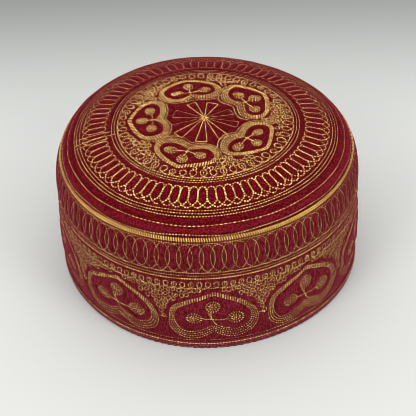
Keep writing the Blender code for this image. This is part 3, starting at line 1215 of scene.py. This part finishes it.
def crowded(low, high, spacing, chance):
    """Places that fill the box, packed as close as ringlets lie, each a little off its row."""
    rise = spacing * math.sqrt(0.75)
    places = []
    for row in range(math.ceil((high[1] - low[1]) / rise)):
        for i in range(math.ceil((high[0] - low[0]) / spacing)):
            across, up = ((i + 0.5 * (row % 2)) * spacing, row * rise)
            drift = [chance.uniform(-RINGLET_DRIFT, RINGLET_DRIFT) for _ in range(2)]
            places.append((low[0] + across + drift[0], low[1] + up + drift[1]))
    return np.array(places)


def ringlets(middles, radius, place, chance):
    """A ringlet round each middle, some with a stitch from their edge to their middle."""
    lines = []
    for x, y in middles:
        size = radius * chance.uniform(*RINGLET_SIZES)
        squash = chance.uniform(*RINGLET_SQUASHES)
        first = chance.uniform(0.0, 2 * math.pi)
        turns = [first + turn for turn in full_turn(RINGLET_POINTS)]
        lines.append([place(x + size * math.cos(turn), y + squash * size * math.sin(turn)) for turn in turns])
        if chance.random() < CROSSED:
            lines.append([lines[-1][0], place(x, y)])
    return lines


outlines = []
for facing, heart in zip(TOP_HEART_FACINGS, TOP_HEARTS):
    turned = Matrix.Rotation(math.radians(facing) - math.pi / 2, 3, "Z")
    outlines.append(np.array([(turned @ point)[:2] for point in heart_outline(heart, 1.0)]))
spacing = 2 * math.pi / LACE_LOOPS
lace_loop = drawn_loop(LACE_LOOP_SIDE, 1.0, 0.0)
chance = random.Random(80)
chart, fills = [], []
for i in range(LACE_LOOPS):
    column = math.radians(LACE_LOOP_FIRST) + i * spacing
    depths = np.arange(LACE_CROSSING - LACE_SHORTEST, LACE_DEEPEST, -LACE_STEP)
    blocked = ~clear_of(depths[:, None] * (math.cos(column), math.sin(column)), outlines, LACE_CLEAR)
    bottom = depths[max(np.argmax(blocked) - 1, 0)] if blocked.any() else LACE_DEEPEST
    for across, out in lace_loop:
        angle = column + across * spacing * chance.uniform(*LACE_UNEVEN)
        chart.append(Vector((angle, bottom + out * (LACE_CROSSING - bottom), 0.0)))
    chart.append(Vector((column + spacing / 2, LACE_ARCH, 0.0)))
    if chance.random() < LACE_FILLED:
        fills.append([on_top(column, bottom + share * (LACE_CROSSING - bottom)) for share in LACE_FILL])
lace = [charted(on_top, smooth_line(chart, LOOP_STEPS)), *fills]
embroider("top_lace_loops", lace, velvet_top, top_gold, stitch=0.0013, width=0.00096, overlap=0.72, seed=80)
places = crowded((-LACE_ARCH, -LACE_ARCH), (LACE_ARCH, LACE_ARCH), RINGLET_SPACING, chance)
out = np.linalg.norm(places, axis=1)
between = (out > LACE_INNER) & (out < LACE_DEEPEST) & clear_of(places, outlines, RINGLET_CLEAR)
lace = ringlets(places[between], RINGLET, plan_of_top, chance)
embroider("top_lace", lace, velvet_top, top_gold, stitch=0.0012, width=0.00074, overlap=0.76, seed=81)


# The hearts of the side
# Ten hearts stand round the side, points up, broader than those of the top and with bigger blobs.
SIDE_HEART_SPACING = 36.0
SIDE_HEART_FIRST = -89.1
SIDE_HEARTS = [SIDE_HEART_FIRST + SIDE_HEART_SPACING * i for i in range(10)]
SIDE_HEART = (
    # in millimetres, as the top's, with up from the floor in place of out
    (0.6, 44.0, 0.6, 46.7), (6.0, 41.5, 6.5, 44.2), (13.0, 37.8, 15.5, 39.6), (19.0, 33.0, 22.3, 34.2),
    (21.7, 27.0, 25.9, 27.2), (21.2, 21.5, 26.6, 20.5), (18.0, 17.9, 23.0, 12.3), (12.0, 16.0, 13.5, 7.9),
    (5.5, 17.2, 6.0, 9.9), (-1.0, 20.9, 0.0, 13.9), (-5.5, 17.7, -5.0, 10.2), (-12.0, 15.3, -12.5, 7.3),
    (-17.5, 15.8, -20.0, 9.7), (-20.8, 20.5, -25.6, 17.0), (-22.4, 27.5, -25.7, 27.0), (-20.3, 33.5, -23.3, 35.2),
    (-13.5, 37.8, -14.8, 40.4), (-6.0, 41.2, -6.5, 43.5),
)
SIDE_BLOBS = (
    # in millimetres: across, up, half its width, half its height
    (-0.3, 35.3, 4.8, 4.8), (-11.3, 26.2, 5.0, 4.7), (13.0, 25.5, 5.3, 5.2),
)
SIDE_BLOB_RINGS = ((17, 0.60, 1.00), (10, 0.24, 0.60), (4, 0.02, 0.28))
SIDE_EGG = 0.10
SIDE_KNOT = (-1.0, 25.3)
SIDE_STEMS = (
    # in millimetres, each from its blob to the knot, and the first on past it
    ((-3.4, 31.2), (-1.7, 27.7), (-0.9, 25.5), (0.3, 22.5), (2.2, 20.3), (5.5, 18.1), (9.5, 16.7)),
    ((-1.4, 30.5), (-1.5, 27.7), (-0.9, 25.5)),
    ((-6.4, 26.3), (-4.0, 25.5), (-0.9, 25.8)),
    ((8.0, 25.2), (5.0, 24.6), (2.0, 24.8), (-0.9, 25.2)),
)
SIDE_AROUND = 0.0930


def side_chart(facing, tall=1.0):
    """The way from across and up, seen from this side, to the place on the side."""
    facing = math.radians(facing)
    return lambda across, up: on_side(facing + across / SIDE_AROUND, tall * up)


bands, blobs, stems = [], [], []
for facing in SIDE_HEARTS:
    place = side_chart(facing)
    bands += heart_band(SIDE_HEART, place)
    for blob in SIDE_BLOBS:
        blobs += blob_strokes(*in_metres(blob), SIDE_BLOB_RINGS, in_metres(SIDE_KNOT), SIDE_EGG, place)
    for stem in SIDE_STEMS:
        points = [Vector((*in_metres(point), 0.0)) for point in stem]
        stems.append(charted(place, smooth_line(points, STEM_STEPS)))
embroider("side_heart_bands", bands, velvet_side, side_gold, stitch=0.0016, width=0.00070, overlap=0.68, seed=90)
embroider("side_heart_stems", stems, velvet_side, side_gold, width=0.00078, seed=91)
embroider("side_heart_blobs", blobs, velvet_side, side_gold, stitch=0.0013, width=0.00060, overlap=0.84, seed=92)


# The lace of the side
# The ground between the hearts is filled the same way, with taller ringlets, from a row of small knots under the
# side's rings down to a short line between the hearts' widest parts.
KNOTS = 122
KNOT_FIRST = -0.0410
KNOT_SIDE = (
    # share of a knot's spacing from its column, height
    (0.27, 0.0512),
    (0.27, 0.0533),
)
KNOT_START = 0.0500
KNOT_TOP = 0.0543
KNOT_LINK = (0.50, 0.0494)
KNOT_DRIFT = 0.0002
KNOT_FILLED = 0.6
KNOT_FILL = (0.0510, 0.0536)
SIDE_RINGLET = 0.00125
SIDE_RINGLET_SPACING = 0.0030
SIDE_RINGLET_TALL = 1.35
SIDE_LACE_TOP = 0.0496
SIDE_LACE_BOTTOM = 0.0268
SIDE_LACE_CLEAR = ((0.0270, 0.0420), (0.0022, 0.0032))
LACE_END = 0.0256
LACE_END_HALF = 0.0026

spacing = 2 * math.pi / KNOTS
chance = random.Random(82)
knot_row = drawn_loop(KNOT_SIDE, KNOT_START, KNOT_TOP) + [KNOT_LINK]
chart = []
for i in range(KNOTS):
    column = math.radians(SIDE_HEARTS[0] + math.degrees(KNOT_FIRST / SIDE_AROUND)) + i * spacing
    for across, height in knot_row:
        angle = column + across * spacing * chance.uniform(*LACE_UNEVEN)
        chart.append(Vector((angle, height + chance.uniform(-KNOT_DRIFT, KNOT_DRIFT), 0.0)))
knots = [charted(on_side, smooth_line(chart, LOOP_STEPS))]
for point in chart[:: len(knot_row)]:
    if chance.random() < KNOT_FILLED:
        knots.append([on_side(point.x, height) for height in KNOT_FILL])
embroider("side_lace_knots", knots, velvet_side, side_gold, stitch=0.0012, width=0.00080, overlap=0.78, seed=94)

half_way = math.radians(SIDE_HEART_SPACING / 2) * SIDE_AROUND
heart = np.array([point[:2] for point in heart_outline(SIDE_HEART, 1.0)])
outlines = [heart - (half_way, 0.0), heart + (half_way, 0.0)]
bottom, top = SIDE_LACE_BOTTOM / SIDE_RINGLET_TALL, SIDE_LACE_TOP / SIDE_RINGLET_TALL
lace, ends = [], []
for facing in SIDE_HEARTS:
    unstretched = crowded((-half_way, bottom), (half_way, top), SIDE_RINGLET_SPACING, chance)
    places = unstretched * (1.0, SIDE_RINGLET_TALL)
    between = clear_of(places, outlines, np.interp(places[:, 1], *SIDE_LACE_CLEAR))
    middle = facing + SIDE_HEART_SPACING / 2
    lace += ringlets(unstretched[between], SIDE_RINGLET, side_chart(middle, SIDE_RINGLET_TALL), chance)
    place = side_chart(middle)
    ends.append([place(across, LACE_END) for across in (-LACE_END_HALF, 0.0, LACE_END_HALF)])
embroider("side_lace", lace + ends, velvet_side, side_gold, stitch=0.0012, width=0.00066, overlap=0.76, seed=93)


# The stitching of the hem
# A thick gold line is sewn through the folded cloth all round, with two finer dull threads under it.
HEM_LINES = (
    # name, height on the fold, stitch, thread
    ("hem_gold", 0.0047, 0.0018, 0.00092),
    ("hem_under", 0.0031, 0.0022, 0.00046),
    ("hem_edge", 0.0016, 0.0022, 0.00055),
)
HEM_WANDER = 0.0003
DULL_PINK_DEEP = (0.16, 0.025, 0.032)
DULL_PINK = (0.34, 0.09, 0.09)


def on_fold(angle, height):
    return sewn_shape(angle, BINDING_OUT + HEM_SWELL, height)


dull_pink = gold_thread("dull pink thread", DULL_PINK_DEEP, DULL_PINK, 0.0)
for seed, (name, height, stitch, width) in enumerate(HEM_LINES, 95):
    thread = side_gold if name == "hem_gold" else dull_pink
    ring = [ring_round(on_fold, height, seed, HEM_WANDER)]
    embroider(name, ring, bound_hem, thread, stitch=stitch, width=width, seed=seed)
